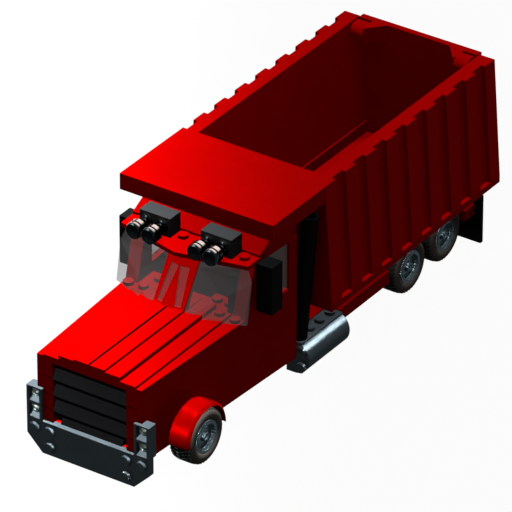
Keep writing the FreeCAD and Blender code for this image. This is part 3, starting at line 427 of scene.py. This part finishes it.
def make_roof_lamps():
    """Four roof lamps, whose upward rings carry a painted highlight, with dark faces; returns the lamps."""
    heads = []
    low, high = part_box("roof_lamps")
    radius = (high.z - low.z) / 2
    for side in (1, -1):
        for index in range(2):
            x = side * (high.x - radius - LAMP_SPACING * index)
            centre = (x, high.y, (low.z + high.z) / 2)
            name = f"roof_lamp_{'left' if side > 0 else 'right'}_{index}"
            barrel = Shape()
            barrel.lathe(LAMP_SECTION, LAMP_STEPS, centre, axis="y")
            head = barrel.piece(name, PAINTED_HIGHLIGHT_CHROME, "truck", LAMP_SHARP)
            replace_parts(head, "roof_lamps")
            face = Shape()
            face.lathe(LAMP_FACE_SECTION, LAMP_STEPS, centre, axis="y")
            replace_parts(face.piece(name + "_face", LAMP_FACE, "truck"), "roof_lamps")
            heads.append(head)
    return heads


LENS_SECTION = [(1.0, 2.3), (-0.9, 2.3), (-1.2, 2.2), (-1.3, 1.9), (-1.1, 1.7), (-1.45, 1.5), (-1.2, 1.3),
                (-1.6, 1.05), (-1.35, 0.8), (-1.7, 0.5), (-1.76, 0.02)]
LENS_STEPS = 36


def make_lenses():
    """Four ringed clear headlamp lenses; returns them."""
    lenses = []
    low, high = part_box("headlamp_lenses")
    radius = LENS_SECTION[0][1] * MM
    for side in (1, -1):
        for level, z in (("lower", low.z + radius), ("upper", high.z - radius)):
            shape = Shape()
            shape.lathe(LENS_SECTION, LENS_STEPS, (side * (high.x - radius), low.y, z), axis="y")
            name = f"lens_{'left' if side > 0 else 'right'}_{level}"
            lens = shape.piece(name, LENS, "truck")
            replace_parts(lens, "headlamp_lenses")
            lenses.append(lens)
    return lenses


# Hood seams: place across and drop below the crown in millimetres, share of the plain half width
HOOD_SEAMS = [(0.0, 0.0, 2.2), (8.15, 0.8, 0.8), (-8.15, 0.8, 0.8), (24.25, 3.6, 0.8), (-24.25, 3.6, 0.8)]
SEAM_HALF = 0.24 * MM
SEAM_RISE = 0.05 * MM
SEAM_SETBACK = 0.1 * MM

# Dashed joints on the grille posts: levels over the crown and places across in millimetres
DASH_LEVELS = (-13.6, -21.6, -29.5)
DASH_COUNT = 4
DASH_START = 19.9
DASH_PITCH = 1.25
DASH_LENGTH = 0.8
DASH_HALF = 0.22 * MM


def strip(shape, start, end, across, lift):
    """A thin flat strip between two points; across is half its width and lift half its thickness."""
    base = [start - across, start + across, end + across, end - across]
    shape.block([tuple(p - lift) for p in base], [tuple(p + lift) for p in base])


def make_seams():
    """Dark joint lines between the bricks of the hood and dashed ones across the grille posts."""
    low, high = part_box("hood")
    front = low.y
    rear = high.y
    crown = high.z
    shape = Shape()
    lift = Vector((0, 0, SEAM_RISE))
    for x, drop, share in HOOD_SEAMS:
        spot = Vector((x * MM, 0, crown - drop * MM))
        across = Vector((SEAM_HALF * share, 0, 0))
        strip(shape, spot + Vector((0, front + SEAM_SETBACK, 0)), spot + Vector((0, rear, 0)), across, lift)
    across = Vector((0, 0, DASH_HALF))
    lift = Vector((0, SEAM_RISE, 0))
    for side in (1, -1):
        for level in DASH_LEVELS:
            z = crown + level * MM
            for dash in range(DASH_COUNT):
                start = side * (DASH_START + DASH_PITCH * dash) * MM
                end = start + side * DASH_LENGTH * MM
                strip(shape, Vector((start, front, z)), Vector((end, front, z)), across, lift)
    shape.piece("hood_seams", SEAM, "truck")


# Stage
FLOOR_REACH = 9.0
FLOOR_BOUNCE = (0.05, 0.05, 0.05, 1.0)
FLOOR_PAINT = (0.9, 0.9, 0.9, 1.0)
FLOOR_GLOW = 0.95
AMBIENT = 0.06


def make_floor():
    """Pale floor that reads as the white backdrop and still takes the truck's shadow."""
    mat, tree = fresh("pale_floor")
    bounce = node(tree, "ShaderNodeBsdfDiffuse", s_Color=FLOOR_BOUNCE)
    paint = node(tree, "ShaderNodeBsdfDiffuse", s_Color=FLOOR_PAINT)
    glow = node(tree, "ShaderNodeEmission", s_Color=WHITE, s_Strength=1.0)
    pale = mixed(tree, FLOOR_GLOW, paint, glow)
    finish_tree(tree, mixed(tree, seen_or_mirrored(tree), bounce, pale))
    far = FLOOR_REACH
    mesh = bpy.data.meshes.new("floor")
    mesh.from_pydata([(-far, -far, 0), (far, -far, 0), (far, far, 0), (-far, far, 0)], [], [(0, 1, 2, 3)])
    mesh.materials.append(mat)
    floor = bpy.data.objects.new("floor", mesh)
    bpy.context.scene.collection.objects.link(floor)


def make_world():
    """White where it is seen or mirrored, weak and even as a light."""
    world = bpy.data.worlds.new("studio")
    bpy.context.scene.world = world
    world.use_nodes = True
    tree = world.node_tree
    tree.nodes.clear()
    ambient = node(tree, "ShaderNodeBackground", s_Color=WHITE, s_Strength=AMBIENT)
    seen = node(tree, "ShaderNodeBackground", s_Color=WHITE, s_Strength=1.0)
    finish_tree(tree, mixed(tree, seen_or_mirrored(tree), ambient, seen), "ShaderNodeOutputWorld")


# Suns: levels are the share of full white that a white surface shows, angles are in degrees
SUN_AIM = Vector((0, 0.0001, -1))
SHADOW_LEVEL = 0.14
SHADOW_ANGLE = 9.0
FILL_LEVEL = 0.16
FILL_ANGLE = 2.0

# The box over the nose, whose rear edge crosses the hood at a slant
NOSE_HEIGHT = 4.0
NOSE_LEVEL = 2.0
NOSE_SPREAD = 3.2
NOSE_TURN = math.radians(33.2)
NOSE_EDGE = -0.057
NOSE_REACH = 0.36
NOSE_WIDTH = 0.9

# Highlight lamps: ways from the truck to the lamp, places on the truck that they aim at
WAY_LOW = (-0.482, -0.822, 0.299)
WAY_HIGH = (-0.482, 0.092, 0.872)
WAY_REAR = (0.514, 0.709, 0.482)
AT_WHEELS = (0.0, -0.04, 0.02)
AT_TANKS = (0.0, -0.01, 0.01)
AT_BUMPER = (0.0, -0.13, 0.01)
GLINT_REACH = 0.9
GLINT_SPREAD = 60.0
GLINT_GAIN = 10.7
GLINT_SIZE = 0.34
STUD_GLINT_SIZE = 0.14


def facing(way):
    """The rotation that turns a lamp or a camera a given way."""
    return way.to_track_quat("-Z", "Y")


def lamp_object(name, data, place, turn):
    """A lamp in the studio, out of the camera's sight."""
    light = bpy.data.objects.new(name, data)
    light.location = place
    light.rotation_mode = "QUATERNION"
    light.rotation_quaternion = turn
    light.visible_camera = False
    bpy.context.scene.collection.objects.link(light)
    return light


def sun(name, level, angle, shadow):
    """Even light from straight above."""
    data = bpy.data.lights.new(name, "SUN")
    data.energy = level * math.pi
    data.angle = math.radians(angle)
    data.use_shadow = shadow
    data.cycles.max_bounces = 0
    lamp_object(name, data, (0, 0, 1), facing(SUN_AIM)).visible_glossy = False


def nose_box():
    """A soft box straight overhead with an even level over the nose, which fades behind its edge."""
    along = Vector((math.cos(NOSE_TURN), math.sin(NOSE_TURN)))
    middle = along * (NOSE_EDGE - NOSE_REACH / 2)
    data = bpy.data.lights.new("nose_box", "AREA")
    data.shape = "RECTANGLE"
    data.size = NOSE_REACH
    data.size_y = NOSE_WIDTH
    data.spread = math.radians(NOSE_SPREAD)
    data.energy = NOSE_LEVEL * math.pi * NOSE_REACH * NOSE_WIDTH
    data.use_shadow = False
    data.cycles.max_bounces = 0
    turn = Quaternion((0, 0, 1), NOSE_TURN)
    lamp_object("nose_box", data, (middle.x, middle.y, NOSE_HEIGHT), turn).visible_glossy = False


def glint(name, way, radiance, receivers, centre, size=GLINT_SIZE):
    """A small lamp that only shows as a highlight, and only on its own receivers.

    Without the link the renderer spends its light samples on it, and the hood comes out dark.
    The gain is how much brighter a lamp of this spread is than a plain one.
    """
    aim = Vector(way).normalized()
    shiny = bpy.data.collections.new(name + "_receivers")
    for receiver in receivers:
        shiny.objects.link(receiver)
    data = bpy.data.lights.new(name, "AREA")
    data.size = size
    data.spread = math.radians(GLINT_SPREAD)
    data.energy = radiance * math.pi * size * size / GLINT_GAIN
    data.use_shadow = False
    data.cycles.max_bounces = 0
    light = lamp_object(name, data, aim * GLINT_REACH + Vector(centre), facing(-aim))
    light.visible_diffuse = False
    light.light_linking.receiver_collection = shiny


def make_lights(shiny):
    """Soft light from straight above, stronger over the nose, and four lamps for the highlights."""
    sun("overall", SHADOW_LEVEL, SHADOW_ANGLE, True)
    sun("fill", FILL_LEVEL, FILL_ANGLE, False)
    nose_box()
    curved = [NODES["left_mudguard"], NODES["right_mudguard"]] + shiny
    glint("glint_low", WAY_LOW, 48.0, curved, AT_WHEELS)
    glint("glint_high", WAY_HIGH, 40.0, curved, AT_WHEELS)
    glint("glint_tanks", WAY_REAR, 170.0, [NODES["fuel_tanks"]], AT_TANKS)
    glint("glint_studs", WAY_REAR, 160.0, [NODES["bumper"]], AT_BUMPER, STUD_GLINT_SIZE)


CAMERA_PLACE = (1.38218, -2.03323, 1.51725)
CAMERA_TURN = math.radians(34.23)
CAMERA_LIFT = math.radians(30.94)
CAMERA_LENS = 460.0
CAMERA_SENSOR = 36.0


def make_camera():
    """The photograph's viewing angle."""
    level = math.cos(CAMERA_LIFT)
    back = Vector((math.sin(CAMERA_TURN) * level, -math.cos(CAMERA_TURN) * level, math.sin(CAMERA_LIFT)))
    data = bpy.data.cameras.new("camera")
    data.lens = CAMERA_LENS
    data.sensor_width = CAMERA_SENSOR
    camera = bpy.data.objects.new("camera", data)
    camera.location = CAMERA_PLACE
    camera.rotation_mode = "QUATERNION"
    camera.rotation_quaternion = facing(-back)
    bpy.context.scene.collection.objects.link(camera)
    bpy.context.scene.camera = camera


bpy.context.scene.view_settings.view_transform = "Standard"
make_camera()
dress_nodes()
glossy = make_wheels() + make_roof_lamps() + make_lenses()
make_seams()
make_floor()
make_world()
make_lights(glossy)
